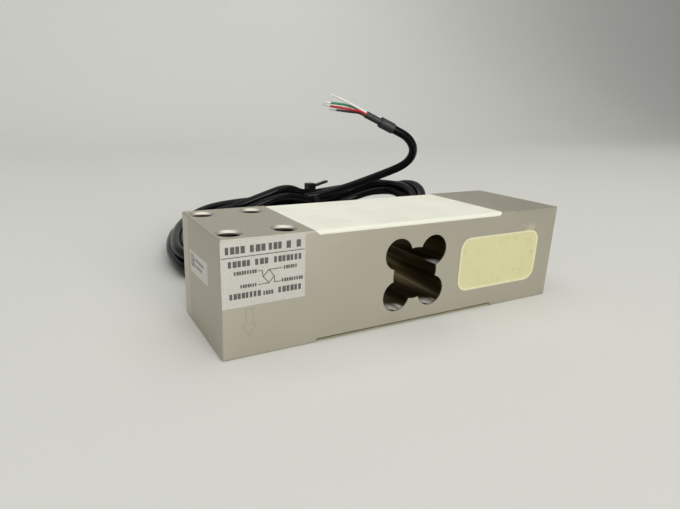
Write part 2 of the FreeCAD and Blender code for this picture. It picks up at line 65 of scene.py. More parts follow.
def camera_matrix(place, azimuth, elevation, roll):
    """Camera at place, looking back along the direction of the angles, turned by roll about its view."""
    back = Vector((
        math.cos(elevation) * math.sin(azimuth), -math.cos(elevation) * math.cos(azimuth), math.sin(elevation),
    ))
    right = Vector((math.cos(azimuth), math.sin(azimuth), 0))
    up = back.cross(right)
    across = right * math.cos(roll) + up * math.sin(roll)
    above = up * math.cos(roll) - right * math.sin(roll)
    matrix = Matrix((across, above, back)).transposed().to_4x4()
    matrix.translation = place
    return matrix


camera.matrix_world = camera_matrix(
    Vector((-118.256, -162.095, 79.362)) * MM, math.radians(-28.06), math.radians(16.60), math.radians(1.57)
)

# ---------------------------------------------------------------- studio
# A pale sheet that runs from the table up the wall in one curve, under a broad soft lamp, with a lamp in
# front, a small one on the wall to the right, and air that is brightest in front and to the left.


def surface(name, grid):
    """A smooth mesh over a grid of points, rows by columns by three."""
    rows, columns = grid.shape[:2]
    order = np.arange(rows * columns).reshape(rows, columns)
    corners = np.stack([order[:-1, :-1], order[1:, :-1], order[1:, 1:], order[:-1, 1:]], axis=-1)
    mesh = bpy.data.meshes.new(name)
    mesh.from_pydata(grid.reshape(-1, 3).tolist(), [], corners.reshape(-1, 4).tolist())
    mesh.polygons.foreach_set("use_smooth", np.ones(len(mesh.polygons), dtype=bool))
    mesh.update()
    made = bpy.data.objects.new(name, mesh)
    bpy.context.scene.collection.objects.link(made)
    return made


class Value:
    """A socket whose operators add Math nodes, so that shader maths reads as an expression."""

    def __init__(self, tree, socket):
        self.tree, self.socket = tree, socket

    def maths(self, operation, *others, swap=False):
        """A Math node of this value and the others."""
        values = [self, *others]
        if swap:
            values.reverse()
        return self.node("ShaderNodeMath", {"operation": operation}, dict(enumerate(values)))

    def node(self, kind, settings=None, values=None, out=0):
        """Any node: its settings are set first, then the values or links of its sockets."""
        made = self.tree.nodes.new(kind)
        for name, setting in (settings or {}).items():
            setattr(made, name, setting)
        for name, value in (values or {}).items():
            if isinstance(value, Value):
                self.tree.links.new(value.socket, made.inputs[name])
            else:
                made.inputs[name].default_value = value
        return Value(self.tree, made.outputs[out])

    def __add__(self, other):
        return self.maths("ADD", other)

    def __sub__(self, other):
        return self.maths("SUBTRACT", other)

    def __mul__(self, other):
        return self.maths("MULTIPLY", other)

    def __rsub__(self, other):
        return self.maths("SUBTRACT", other, swap=True)

    def __abs__(self):
        return self.maths("ABSOLUTE")

    __radd__ = __add__
    __rmul__ = __mul__


class Finish:
    """A material being made: its coordinates, its shader, and short names for the nodes that it needs."""

    def __init__(self, name, **constants):
        self.material = bpy.data.materials.new(name)
        self.material.use_nodes = True
        self.tree = self.material.node_tree
        self.shader = self.tree.nodes["Principled BSDF"]
        for socket, value in constants.items():
            self.shader.inputs[socket.replace("_", " ")].default_value = value
        root = Value(self.tree, None)
        self.make = root.node
        self.place = root.node("ShaderNodeTexCoord", out="Object")
        split = self.tree.nodes.new("ShaderNodeSeparateXYZ")
        self.tree.links.new(self.place.socket, split.inputs[0])
        self.x, self.y, self.z = (Value(self.tree, out) for out in split.outputs)

    def stretched(self, along, across, up):
        """Coordinates scaled per axis, for a pattern that is long in one direction."""
        return self.make("ShaderNodeMapping", {}, {"Vector": self.place, "Scale": (along, across, up)})

    def noise(self, scale, detail=2.0, roughness=0.5, where=None):
        """Smooth noise from 0 to 1."""
        values = {"Vector": where or self.place, "Scale": scale, "Detail": detail, "Roughness": roughness}
        return self.make("ShaderNodeTexNoise", {}, values)

    def step(self, value, low, high, start=0.0, end=1.0):
        """A smooth rise from start to end as the value goes from low to high."""
        values = {"Value": value, "From Min": low, "From Max": high, "To Min": start, "To Max": end}
        return self.make("ShaderNodeMapRange", {"interpolation_type": "SMOOTHSTEP"}, values)

    def band(self, value, middle, half, soft):
        """One inside a band about the middle, and nothing beyond its soft edges."""
        away = abs(value - middle)
        return self.step(away, half - soft, half + soft, 1.0, 0.0)

    def mix(self, share, first, second):
        """A colour between two, by a share."""
        values = {0: share, 6: as_colour(first), 7: as_colour(second)}
        return self.make("ShaderNodeMix", {"data_type": "RGBA"}, values, out=2)

    def set(self, **links):
        """Links what changes over the surface to the shader."""
        for socket, value in links.items():
            self.tree.links.new(value.socket, self.shader.inputs[socket.replace("_", " ")])

    def bump(self, height, distance, strength=1.0):
        """Raises the surface by a height."""
        values = {"Height": height, "Distance": distance, "Strength": strength}
        self.set(Normal=self.make("ShaderNodeBump", {}, values))

    def on(self, *things):
        """Gives this finish to objects."""
        for thing in things:
            thing.data.materials.clear()
            thing.data.materials.append(self.material)


def as_colour(colour):
    """A colour with its fourth number, or a link as it is."""
    return colour if isinstance(colour, Value) else (*colour, 1.0)


def sheet_of_paper(left, right, front, back, bend, height):
    """Along the floor, round a quarter circle of radius bend and up the wall, extended from left to right."""
    turn = np.linspace(0, math.pi / 2, 25)
    run = np.concatenate([[front], back - bend + bend * np.sin(turn), [back]])
    rise = np.concatenate([[0.0], bend - bend * np.cos(turn), [height]])
    across = np.linspace(left, right, 3)
    return np.stack([
        np.broadcast_to(across[:, None], (3, len(run))), np.broadcast_to(run, (3, len(run))),
        np.broadcast_to(rise, (3, len(run))),
    ], axis=-1)


paper = surface("paper_sheet", sheet_of_paper(-7.0, 7.0, -8.0, 1.6, 0.9, 4.0))
paper.data.flip_normals()
white = Finish("paper_white", Roughness=0.9, Specular_IOR_Level=0.2)
tone = white.noise(1.3, 2.0)
white.set(Base_Color=white.mix(tone, (0.58, 0.58, 0.56), (0.63, 0.63, 0.61)))
white.on(paper)


def lamp(name, place, target, width, height, power, colour):
    """A rectangular soft lamp that faces a point."""
    data = bpy.data.lights.new(name, "AREA")
    data.shape = "RECTANGLE"
    data.size, data.size_y = width, height
    data.energy = power
    data.color = colour
    made = bpy.data.objects.new(name, data)
    bpy.context.scene.collection.objects.link(made)
    made.matrix_world = (Vector(target) - Vector(place)).to_track_quat("-Z", "Y").to_matrix().to_4x4()
    made.location = place


lamp("ceiling_lamp", (0.0, -0.1, 1.4), (0.0, 0.0, 0.0), 2.2, 2.2, 18.5, (1.0, 0.99, 0.96))
lamp("front_lamp", (0.1, -2.1, 0.8), (0.0, 0.0, 0.0), 1.0, 0.9, 32.0, (1.0, 0.98, 0.94))
lamp("wall_lamp", (0.7, 0.75, 1.1), (0.95, 1.6, 0.75), 0.7, 0.7, 1.6, (1.0, 0.99, 0.97))

world = bpy.data.worlds.new("studio_air")
bpy.context.scene.world = world
world.use_nodes = True
air = Value(world.node_tree, None)
facing = air.node("ShaderNodeTexCoord")
sides = world.node_tree.nodes.new("ShaderNodeSeparateXYZ")
world.node_tree.links.new(facing.socket, sides.inputs[0])
east, north, above = (Value(world.node_tree, out) for out in sides.outputs)
glow = 0.22 - 0.14 * east - 0.16 * north + 0.06 * above
glow = glow.maths("MAXIMUM", 0.06)
background = world.node_tree.nodes["Background"]
background.inputs["Color"].default_value = (0.98, 1.0, 0.98, 1.0)
world.node_tree.links.new(glow.socket, background.inputs["Strength"])
bpy.context.scene.view_settings.view_transform = "Standard"

# ---------------------------------------------------------------- signal cable
# One length of round screened cable, glossy black: out of the back of the block, wound into a loose
# flat coil, tied on its far side, and up to the stripped end.

CABLE_DIAMETER = 5.2 * MM
LEAD_ROUTE = [(60, -4, 20), (60, 38, 20), (51, 53.5, 18), (35.5, 62.5, 15.5)]
TAIL_ROUTE = [
    (42.3, 133, 20.8), (55.9, 125, 25.5), (76.9, 110, 36.4), (86.8, 97, 44.4),
    (86.2, 90, 53.7), (79.4, 88.5, 61.5), (71.2, 90.5, 65.5), (65, 92.5, 68.5),
]
COIL_MIDDLE, COIL_TURN = (22.0, 98.0), math.radians(5.0)
HALF_STRAIGHT, END_RADIUS = 43.0, 38.0
TURNS, STATIONS = 6.5, 24
# The tie: how far round it sits, how much of a turn it pinches, and the middle and half sizes of its eye.
TIE_PART, TIE_GRIP, TIE_MIDDLE, TIE_HALF_WIDTH, TIE_HALF_HEIGHT = 0.549, 0.02, 12.0, 7.2, 8.2
# The last strand leaves the coil over this part of its last turn, at this height and shift outwards.
LEAVES_FROM, LEAVES_BY, LEAVES_HEIGHT, LEAVES_SHIFT = 6.3, 6.5, 19.5, 0.5
# The place of each turn in the bundle's ring: the turn, and its angle in degrees.
RING_TURNS, RING_ANGLES = [0.5, 1.5, 2.5, 3.5, 4.5, 5.5, 6.5], [400, 340, 272, 208, 152, 106, 60]
# How the bundle lies round the coil: part of the way round, its height, half width, foot, shift outwards
# and twist in degrees.
BUNDLE = np.array([
    (0.00, 12.0, 7.6, 2.8, 0.0, 28.0),
    (0.05, 11.0, 7.6, 2.8, 2.0, 0.0),
    (0.10, 8.5, 7.0, 2.7, 8.0, -30.0),
    (0.155, 8.5, 6.8, 2.7, 16.5, -35.0),
    (0.19, 8.5, 6.6, 2.7, 16.0, -35.0),
    (0.237, 9.5, 6.6, 2.7, 3.0, -20.0),
    (0.27, 10.5, 6.6, 2.7, -2.0, 0.0),
    (0.33, 11.5, 6.8, 2.7, -0.5, 10.0),
    (0.395, 15.0, 7.5, 2.7, 3.5, 20.0),
    (0.50, 17.5, 6.4, 3.8, 0.0, 0.0),
    (0.549, 16.2, 6.2, 3.9, 0.0, 0.0),
    (0.605, 18.5, 7.0, 4.0, 0.5, -15.0),
    (0.68, 22.5, 6.0, 5.0, -2.5, -20.0),
    (0.75, 26.0, 4.5, 5.0, -10.0, -20.0),
    (0.81, 24.0, 4.5, 5.0, -10.0, -15.0),
    (0.86, 20.0, 6.0, 4.0, -4.0, 0.0),
    (0.95, 14.0, 7.4, 3.0, 0.0, 15.0),
])
# Where one strand leaves the bundle by itself: the turn, its rise, its shift inwards and how long it runs.
STRAYS = [
    (5.497, 7.5, 4.0, 0.050), (4.48, 8.0, 3.0, 0.05), (3.48, 8.0, 2.0, 0.065), (0.49, 3.5, 0.0, 0.06),
    (5.56, 0.0, -4.5, 0.03), (4.665, 4.0, 0.0, 0.04), (3.69, 7.5, 0.0, 0.09), (2.70, 9.0, 0.0, 0.08),
    (0.70, 6.0, -1.0, 0.09), (5.70, -2.0, 0.0, 0.035), (5.775, 1.5, -1.0, 0.03),
    (5.99, 4.5, 1.0, 0.025),
]


def smooth(low, high, value):
    """A smooth rise from 0 to 1 between low and high."""
    share = np.clip((value - low) / (high - low), 0, 1)
    return share * share * (3 - 2 * share)


def turning(angle):
    """The matrix that turns rows of plane points by an angle, counter-clockwise, as points @ matrix."""
    return np.array([[math.cos(angle), math.sin(angle)], [-math.sin(angle), math.cos(angle)]])


def coil_stations():
    """The coil's stations: the path goes round two straights and two half circles, and each station moves
    out by shift + width cos(angle) and up by foot + height (1 + sin(angle)) / 2, where angle is the place
    of its turn in the bundle's ring; a bell curve lifts each stray, and another draws all in at the tie."""
    count = round(TURNS * STATIONS)
    turn = np.linspace(-0.02, TURNS, count + 1)
    arc, straight = math.pi * END_RADIUS, 2 * HALF_STRAIGHT
    walked = (turn % 1.0) * 2 * (straight + arc)
    bend = np.clip((walked - HALF_STRAIGHT) / END_RADIUS, 0, math.pi)
    bend = bend + np.clip((walked - HALF_STRAIGHT - arc - straight) / END_RADIUS, 0, math.pi)
    run = np.clip(walked, 0, HALF_STRAIGHT) * -1.0
    run = run + np.clip(walked - HALF_STRAIGHT - arc, 0, straight)
    run = run - np.clip(walked - HALF_STRAIGHT - 2 * arc - straight, 0, HALF_STRAIGHT)
    outward = np.stack([-np.sin(bend), -np.cos(bend)], axis=-1)
    part = np.concatenate([BUNDLE[:, 0] - 1, BUNDLE[:, 0], BUNDLE[:, 0] + 1])
    height, width, foot, shift, twist = (
        np.interp(turn % 1.0, part, np.tile(BUNDLE[:, column], 3)) for column in range(1, 6)
    )
    ring = smooth(0.45, 1.2, turn)
    angle = np.radians(np.interp(turn, RING_TURNS, RING_ANGLES) + twist)
    away = shift + ring * width * np.cos(angle)
    up = foot + height * (0.5 + 0.5 * ring * np.sin(angle))
    for place, rise, inwards, run_out in STRAYS:
        near = np.exp(-(((turn - place) / run_out) ** 2))
        up, away = up + rise * near, away - inwards * near
    over = np.hypot(away / TIE_HALF_WIDTH, (up - TIE_MIDDLE) / TIE_HALF_HEIGHT)
    held = np.exp(-(((turn % 1.0 - TIE_PART) / TIE_GRIP) ** 2)) * (1 - 1 / np.maximum(over, 1))
    up, away = up - held * (up - TIE_MIDDLE), away - held * away
    leaving = smooth(LEAVES_FROM, LEAVES_BY, turn)
    up, away = up + leaving * (LEAVES_HEIGHT - up), away + leaving * (LEAVES_SHIFT - away)
    flat = np.stack([run, np.zeros_like(run)], axis=-1) + outward * (END_RADIUS + away)[:, None]
    return np.column_stack([flat @ turning(COIL_TURN) + COIL_MIDDLE, up])


def spline_curve(name, points, thickness):
    """A round cord along one open quadratic spline that follows control points in millimetres."""
    curve = bpy.data.curves.new(name, "CURVE")
    curve.dimensions = "3D"
    curve.bevel_depth = 1.0  # the points' radius scales it to the cord's
    curve.bevel_resolution = 4
    curve.use_fill_caps = True
    spline = curve.splines.new("NURBS")
    spline.points.add(len(points) - 1)
    spline.points.foreach_set("co", np.column_stack([np.array(points) * MM, np.ones(len(points))]).ravel())
    spline.points.foreach_set("radius", np.full(len(points), thickness / 2))
    spline.order_u = 3
    spline.use_endpoint_u = True
    spline.resolution_u = 6
    made = bpy.data.objects.new(name, curve)
    bpy.context.scene.collection.objects.link(made)
    return made


cable_points = np.vstack([LEAD_ROUTE, coil_stations(), TAIL_ROUTE])
cable = spline_curve("signal_cable", cable_points, CABLE_DIAMETER)
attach(cable, "root")
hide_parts("cable_lead", "cable_coil", "cable_tail")

jacket = Finish("jacket_black", Specular_IOR_Level=0.13)
smudge = jacket.noise(140.0, 4.0)
grain = jacket.noise(1800.0, 2.0)
jacket.set(
    Base_Color=jacket.mix(smudge, (0.0015, 0.0015, 0.002), (0.004, 0.004, 0.0045)),
    Roughness=jacket.step(smudge, 0.3, 0.7, 0.16, 0.26),
)
jacket.bump(grain, 0.00003, 0.2)
jacket.on(cable)

# ---------------------------------------------------------------- load cell body
# One billet of nickel-toned aluminium, milled all over and left matt, with its edges broken and the
# clover drilled through. The recesses and tapped holes are cut after; the surface has a fine grain.

body = nodes["spring_element"]
HALF_LENGTH, HALF_WIDTH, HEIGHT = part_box("spring_element")[1]
CLOVER_Z, HOLE_OFFSET, HOLE_RADIUS, MIDDLE_RADIUS = HEIGHT / 2, 8.0 * MM, 6.0 * MM, 10.0 * MM
# The tapped holes: the middle of each pattern of four, half its spacings, and the countersink's radius.
TAPPED_MIDDLE, TAPPED_ALONG, TAPPED_ACROSS, SUNK_RADIUS = 60.0 * MM, 9.5 * MM, 15.0 * MM, 4.6 * MM

milled = Finish("milled_aluminium", Metallic=1.0, Specular_IOR_Level=0.5)
above_middle = milled.z - CLOVER_Z
from_side, from_front, from_level = abs(milled.x), abs(milled.y), abs(above_middle)
cloud = milled.noise(22.0, 3.0)
lines = milled.noise(1.0, 3.0, 0.6, milled.stretched(45.0, 1900.0, 1900.0))
crossed = milled.noise(1.0, 2.0, 0.5, milled.stretched(700.0, 60.0, 2400.0))

# the broken edges: where two of the outer faces meet
near_end, near_face, near_top = (
    milled.step(away, reach - 0.45 * MM, reach - 0.36 * MM)
    for away, reach in ((from_side, HALF_LENGTH), (from_front, HALF_WIDTH), (from_level, HEIGHT / 2))
)
worn = (near_end * near_face + near_face * near_top + near_end * near_top).maths("MINIMUM", 1.0)

# the walls of the clover: inside its outline and below the faces, painted dark as shade in the bores
bore_x, bore_z = from_side - HOLE_OFFSET, from_level - HOLE_OFFSET
corner_reach = (bore_x * bore_x + bore_z * bore_z).maths("SQRT")
middle_reach = (milled.x * milled.x + above_middle * above_middle).maths("SQRT")
in_corner = milled.step(corner_reach, HOLE_RADIUS + 0.1 * MM, HOLE_RADIUS + 0.35 * MM, 1.0, 0.0)
in_middle = milled.step(middle_reach, MIDDLE_RADIUS + 0.1 * MM, MIDDLE_RADIUS + 0.35 * MM, 1.0, 0.0)
below_face = milled.step(from_front, HALF_WIDTH - 0.8 * MM, HALF_WIDTH - 0.1 * MM, 1.0, 0.0)
bore_shade_mask = in_corner.maths("MAXIMUM", in_middle) * below_face

# the floors of its four holes are painted paler and duller near both mouths, a painted pool of the light
# that falls in from the front, but for the lip at the left of each mouth, which keeps the painted shade
upper_pair = milled.step(above_middle, -0.1 * MM, 0.1 * MM)
right_pair = milled.step(milled.x, -0.1 * MM, 0.1 * MM)
drop = above_middle + HOLE_OFFSET - upper_pair * (2 * HOLE_OFFSET)
narrowing = milled.step(from_front, 14.0 * MM, 21.0 * MM, 1.0 * MM, 0.0)
floors = in_corner * milled.step(drop + narrowing, -5.3 * MM, -4.4 * MM, 1.0, 0.0)
left_of_hole = milled.step(bore_x * (right_pair * 2 - 1), -0.8 * MM, 1.0 * MM, 1.0, 0.0)
# the lip at the left of each mouth keeps the painted shade of the bore
lip_shade = milled.step(from_front, 20.2 * MM, 21.4 * MM) * left_of_hole
painted_floor_light = floors * milled.step(from_front, 13.0 * MM, 19.0 * MM) * (1 - lip_shade)

# the tapped holes: a bright countersink, down which the tap's first turn leaves a winding groove, painted dark as
# shade
hole_x, hole_y = abs(from_side - TAPPED_MIDDLE) - TAPPED_ALONG, from_front - TAPPED_ACROSS
hole_reach = (hole_x * hole_x + hole_y * hole_y).maths("SQRT")
below_plate = milled.step(from_level, HEIGHT / 2 - 0.12 * MM, HEIGHT / 2 - 0.04 * MM, 1.0, 0.0)
sunk = milled.step(hole_reach, SUNK_RADIUS - 0.25 * MM, SUNK_RADIUS, 1.0, 0.0) * below_plate
along_pattern = milled.x + TAPPED_MIDDLE
east_of_hole = along_pattern - along_pattern.maths("SIGN") * TAPPED_ALONG
north_of_hole = milled.y - milled.y.maths("SIGN") * TAPPED_ACROSS
wound = north_of_hole.maths("ARCTAN2", east_of_hole)
groove_shade = milled.band(hole_reach, 4.30 * MM - (wound + 0.5) * (0.45 * MM), 0.09 * MM, 0.08 * MM)
groove_shade = groove_shade * milled.step(wound, -0.5, 1.5, 0.9, 0.3)
# the foot of the countersink is painted dark, as shade down the hole
cone_foot_shade = milled.step(hole_reach, 3.62 * MM, 3.85 * MM, 1.0, 0.0)
cone_top = milled.step(milled.z, HEIGHT - 2.0 * MM, HEIGHT - 1.9 * MM)
groove_shade = groove_shade.maths("MAXIMUM", cone_foot_shade) * sunk * cone_top

# the end face has a lighter strip along its back edge, a painted sheen
on_end = milled.step(milled.x, -HALF_LENGTH, -HALF_LENGTH + 0.05 * MM, 1.0, 0.0)
end_sheen = milled.step(milled.y, 14.3 * MM, 15.3 * MM) * on_end

# a smear of the pocket's resin on the front, above the pocket
on_front_face = milled.step(milled.y, -HALF_WIDTH + 0.2 * MM, -HALF_WIDTH + 0.4 * MM, 1.0, 0.0)
smear = milled.band(milled.x, 57.0 * MM, 6.5 * MM, 3.0 * MM) * milled.band(milled.z, 32.0 * MM, 1.6 * MM, 1.0 * MM)
smear = smear * milled.step(milled.noise(260.0, 4.0), 0.42, 0.62) * on_front_face

shade = milled.mix(cloud, (0.480, 0.452, 0.372), (0.535, 0.505, 0.418))
shade = milled.mix(lines * 0.35, shade, (0.42, 0.395, 0.325))
# painted sheen along the back edge of the end face
shade = milled.mix(end_sheen * 0.5, shade, (0.66, 0.64, 0.56))
shade = milled.mix(worn * 0.6, shade, (0.46, 0.44, 0.38))
shade = milled.mix(sunk, shade, (0.60, 0.58, 0.53))
# painted shade of the groove and of the countersink's foot
shade = milled.mix(groove_shade, shade, (0.06, 0.05, 0.04))
shade = milled.mix(smear * 0.6, shade, (0.70, 0.68, 0.50))
streak = milled.noise(1.0, 3.0, 0.6, milled.stretched(420.0, 14.0, 420.0))
# painted shade on the walls of the bores, streaked lighter
bore_shade_colour = milled.mix(milled.step(streak, 0.50, 0.78), (0.150, 0.118, 0.060), (0.30, 0.26, 0.17))
# painted light: paler floors near the mouths, where light falls into the bores
bore_shade_colour = milled.mix(painted_floor_light * milled.step(streak, 0.40, 0.56, 0.10, 1.0), bore_shade_colour, (0.80, 0.79, 0.76))
rough = milled.step(cloud * 0.5 + crossed * 0.5, 0.3, 0.7, 0.42, 0.52)
milled.set(
    Base_Color=milled.mix(bore_shade_mask, shade, bore_shade_colour),
    Roughness=rough + 0.04 * worn + 0.02 * sunk - 0.12 * bore_shade_mask,
    Metallic=1 - painted_floor_light * bore_shade_mask * (0.75 - 0.4 * upper_pair),
)
milled.bump(lines + crossed * 0.6, 0.00002, 0.35)
milled.on(body)

# ---------------------------------------------------------------- screw threads
# M8 coarse threads cut in the eight tapped holes, four in the top of the loaded end and four in the
# underside of the fixed end. Shade is painted dark over the first turns of the cut metal and on its crests.

THREAD_PITCH, THREAD_TOP, THREAD_FOOT = 1.25 * MM, 3.36 * MM, 2.95 * MM


def thread(x, y, start, length, direction):
    """A helical ridge on a cylinder: radius goes up and down between root and crest once a pitch, along a
    height that rises by a pitch each turn; the start is flattened so that the ridge runs out."""
    turns = length / THREAD_PITCH
    angle = np.linspace(0, 2 * math.pi * turns, int(turns * 28))[:, None]
    across = np.linspace(0, 1, 7)[None, :]
    ridge = np.abs(2 * across - 1)
    runout = smooth(0, 2 * math.pi, angle)
    radius = THREAD_FOOT + (THREAD_TOP - THREAD_FOOT) * (1 - (1 - ridge) * runout)
    depth = (angle / (2 * math.pi) + across) * THREAD_PITCH
    return np.stack([
        x + radius * np.cos(angle), y + radius * np.sin(angle) * direction, start - direction * depth,
    ], axis=-1)


cut_thread = Finish("cut_thread", Metallic=1.0)
swarf = cut_thread.noise(900.0, 3.0)
bore_along, bore_across = abs(abs(cut_thread.x) - TAPPED_MIDDLE) - TAPPED_ALONG, abs(cut_thread.y) - TAPPED_ACROSS
bore_reach = (bore_along * bore_along + bore_across * bore_across).maths("SQRT")
crest = cut_thread.step(bore_reach, 3.0 * MM, 3.3 * MM, 1.0, 0.0)
first_turns_shade = cut_thread.step(abs(cut_thread.z - CLOVER_Z), HEIGHT / 2 - 4.5 * MM, HEIGHT / 2 - 3.5 * MM)
cut = cut_thread.mix(swarf, (0.34, 0.32, 0.28), (0.46, 0.44, 0.39))
cut_thread.set(
    # painted shade: dark over the first turns and a little on the crests
    Base_Color=cut_thread.mix(first_turns_shade.maths("MAXIMUM", crest * 0.4), cut, (0.02, 0.018, 0.014)),
    Roughness=cut_thread.step(swarf, 0.3, 0.7, 0.40, 0.55),
)
for end, middle, start, direction in (
    ("loaded", -TAPPED_MIDDLE, HEIGHT - 1.25 * MM, 1), ("fixed", TAPPED_MIDDLE, 1.25 * MM, -1),
):
    helices = [
        thread(middle + side * TAPPED_ALONG, hand * TAPPED_ACROSS, start, 14.5 * MM, direction)
        for side in (-1, 1) for hand in (-1, 1)
    ]
    parts = [surface(f"{end}_thread_{number}", helix) for number, helix in enumerate(helices)]
    with bpy.context.temp_override(
        object=parts[0], active_object=parts[0], selected_objects=parts, selected_editable_objects=parts,
    ):
        bpy.ops.object.join()
    parts[0].name = f"{end}_end_threads"
    cut_thread.on(parts[0])
    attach(parts[0], "root")

# ---------------------------------------------------------------- sealant
# White silicone poured over the gauges in both recesses and struck off level; it is smooth and a
# little glossy, with grey smudges from handling.

silicone = Finish("white_silicone", Specular_IOR_Level=0.4)
stain = silicone.noise(55.0, 4.0)
wipe = silicone.noise(1.0, 3.0, 0.6, silicone.stretched(35.0, 140.0, 60.0))
soft = silicone.noise(420.0, 2.0)
tint = silicone.mix(silicone.step(stain, 0.35, 0.75), (0.80, 0.80, 0.70), (0.74, 0.74, 0.65))
tint = silicone.mix(silicone.step(wipe, 0.62, 0.80) * 0.3, tint, (0.56, 0.56, 0.50))
# the front edge of the pour is painted darker, as shade on its rounded lip
tint = silicone.mix(silicone.step(silicone.y, -21.0 * MM, -22.0 * MM), tint, (0.68, 0.68, 0.59))
silicone.set(Base_Color=tint, Roughness=silicone.step(wipe, 0.3, 0.7, 0.40, 0.58))
silicone.bump(stain + soft * 0.12, 0.0002, 0.5)
silicone.on(nodes["upper_sealant"])

# the lower pour is yellowed and painted darker, as shade under the block, with a painted shadow where it meets the
# root of the recess
under_silicone = Finish("under_silicone", Specular_IOR_Level=0.4)
dirt = under_silicone.noise(80.0, 4.0)
# yellowed, and painted darker as shade under the block
yellowed_and_shaded = under_silicone.mix(dirt, (0.30, 0.29, 0.14), (0.44, 0.43, 0.24))
# painted shadow along the root of the recess
root = under_silicone.step(under_silicone.z, 0.75 * MM, 0.95 * MM)
under_silicone.set(
    Base_Color=under_silicone.mix(root, yellowed_and_shaded, (0.05, 0.045, 0.02)),
    Roughness=under_silicone.step(dirt, 0.3, 0.7, 0.45, 0.6),
)
under_silicone.bump(dirt, 0.0002, 0.5)
under_silicone.on(nodes["lower_sealant"])

# ---------------------------------------------------------------- potting
# Pale yellow resin that fills the wiring pocket: it stands a little proud and is paler at its rim,
# where it crept up the wall, with a few dark specks.

resin = Finish("pale_resin", Specular_IOR_Level=0.5)
pocket_low, pocket_high = (np.array(corner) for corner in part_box("pocket_potting"))
pocket_middle, pocket_half = (pocket_low + pocket_high) / 2, (pocket_high - pocket_low) / 2
ROUND = 5.0 * MM
flat_x = abs(resin.x - pocket_middle[0]) - pocket_half[0] + ROUND
flat_z = abs(resin.z - pocket_middle[2]) - pocket_half[2] + ROUND
out_x, out_z = flat_x.maths("MAXIMUM", 0.0), flat_z.maths("MAXIMUM", 0.0)
rim_reach = (out_x * out_x + out_z * out_z).maths("SQRT").maths("MAXIMUM", flat_x.maths("MAXIMUM", flat_z))
rim = resin.step(rim_reach, ROUND - 1.3 * MM, ROUND - 0.5 * MM)
speck = resin.step(resin.noise(520.0, 1.0), 0.735, 0.76)
haze = resin.noise(90.0, 4.0)
cast = resin.mix(haze, (0.50, 0.475, 0.25), (0.60, 0.57, 0.33))
cast = resin.mix(resin.step(resin.noise(230.0, 3.0), 0.55, 0.75) * 0.45, cast, (0.46, 0.45, 0.24))
cast = resin.mix(rim * 0.75, cast, (0.64, 0.615, 0.42))
cast = resin.mix(speck * 0.4, cast, (0.24, 0.20, 0.10))
resin.set(Base_Color=cast, Roughness=resin.step(haze, 0.3, 0.7, 0.26, 0.42))
resin.bump(haze + rim * 0.8, 0.00025, 0.6)
resin.on(nodes["pocket_potting"])

# ---------------------------------------------------------------- name label
# A silver film label stuck in the top left corner of the front: a heading over a rule, two lines, and
# a bridge diagram with four leads. Its words are left as rows of plain blocks.

film = Finish("silver_film", Metallic=0.25, Specular_IOR_Level=0.5)
fleck = film.noise(2600.0, 2.0)
sheen = film.noise(60.0, 2.0)
film.set(
    Base_Color=film.mix(film.step(fleck, 0.3, 0.7), (0.465, 0.45, 0.415), (0.545, 0.53, 0.495)),
    Roughness=film.step(sheen, 0.3, 0.7, 0.34, 0.46),
)
film.bump(fleck, 0.00001, 0.3)
film.on(nodes["name_label"])

FRONT = -HALF_WIDTH / MM
PRINT_LIFT, MARK_LIFT, STROKE = 0.13, 0.012, 0.26
LABEL_CORNER, LABEL_TURN = np.array([-74.7, 17.8]), math.radians(-0.6)


def strokes(runs, thick):
    """Flat printed strokes: each run of points becomes quads of the given thickness, lying in the plane
    of the first two columns; the ends are square."""
    quads = []
    for run in runs:
        run = np.array(run, dtype=float)
        ahead = np.diff(run, axis=0)
        ahead = ahead / np.linalg.norm(ahead, axis=1)[:, None]
        side = np.stack([-ahead[:, 1], ahead[:, 0]], axis=-1) * thick / 2
        start, end = run[:-1] - ahead * thick / 2, run[1:] + ahead * thick / 2
        quads.append(np.stack([start - side, end - side, end + side, start + side], axis=1))
    return np.concatenate(quads)


def letters(rows):
    """Rows of left, right, foot and top, cut into rectangles about as wide as a letter of that height, of
    three widths in turn."""
    blocks = []
    for left, right, foot, top in rows:
        count = max(1, round((right - left) / (0.72 * (top - foot))))
        number = np.arange(count)
        first = left + number * (right - left) / count
        last = first + (right - left) / count * np.array([0.66, 0.84, 0.74])[(number**2 + number // 2) % 3]
        across = np.stack([first, last, last, first], axis=1)
        blocks.append(np.stack([across, np.tile([foot, foot, top, top], (count, 1))], axis=-1))
    return np.concatenate(blocks)


def printed(name, quads, place):
    """A mesh of flat quads: place turns their two columns into points of the frame, in millimetres."""
    points = place(quads.reshape(-1, 2)) * MM
    faces = np.arange(len(points)).reshape(-1, 4)
    mesh = bpy.data.meshes.new(name)
    mesh.from_pydata(points.tolist(), [], faces.tolist())
    made = bpy.data.objects.new(name, mesh)
    bpy.context.scene.collection.objects.link(made)
    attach(made, "root")
    return made


def on_front(points):
    """Points across and up the front face, turned with the label about its lower left corner."""
    flat = (points - LABEL_CORNER) @ turning(-LABEL_TURN) + LABEL_CORNER
    return np.insert(flat, 1, FRONT - PRINT_LIFT, axis=1)


ink = Finish("dark_ink", Roughness=0.55)
worn_ink = ink.noise(1500.0, 3.0)
ink.set(Base_Color=ink.mix(ink.step(worn_ink, 0.35, 0.75), (0.035, 0.032, 0.030), (0.12, 0.11, 0.10)))
grey_ink = Finish("grey_ink", Roughness=0.55)
thin_ink = grey_ink.noise(1500.0, 3.0)
grey_ink.set(Base_Color=grey_ink.mix(thin_ink, (0.045, 0.043, 0.04), (0.11, 0.105, 0.10)))

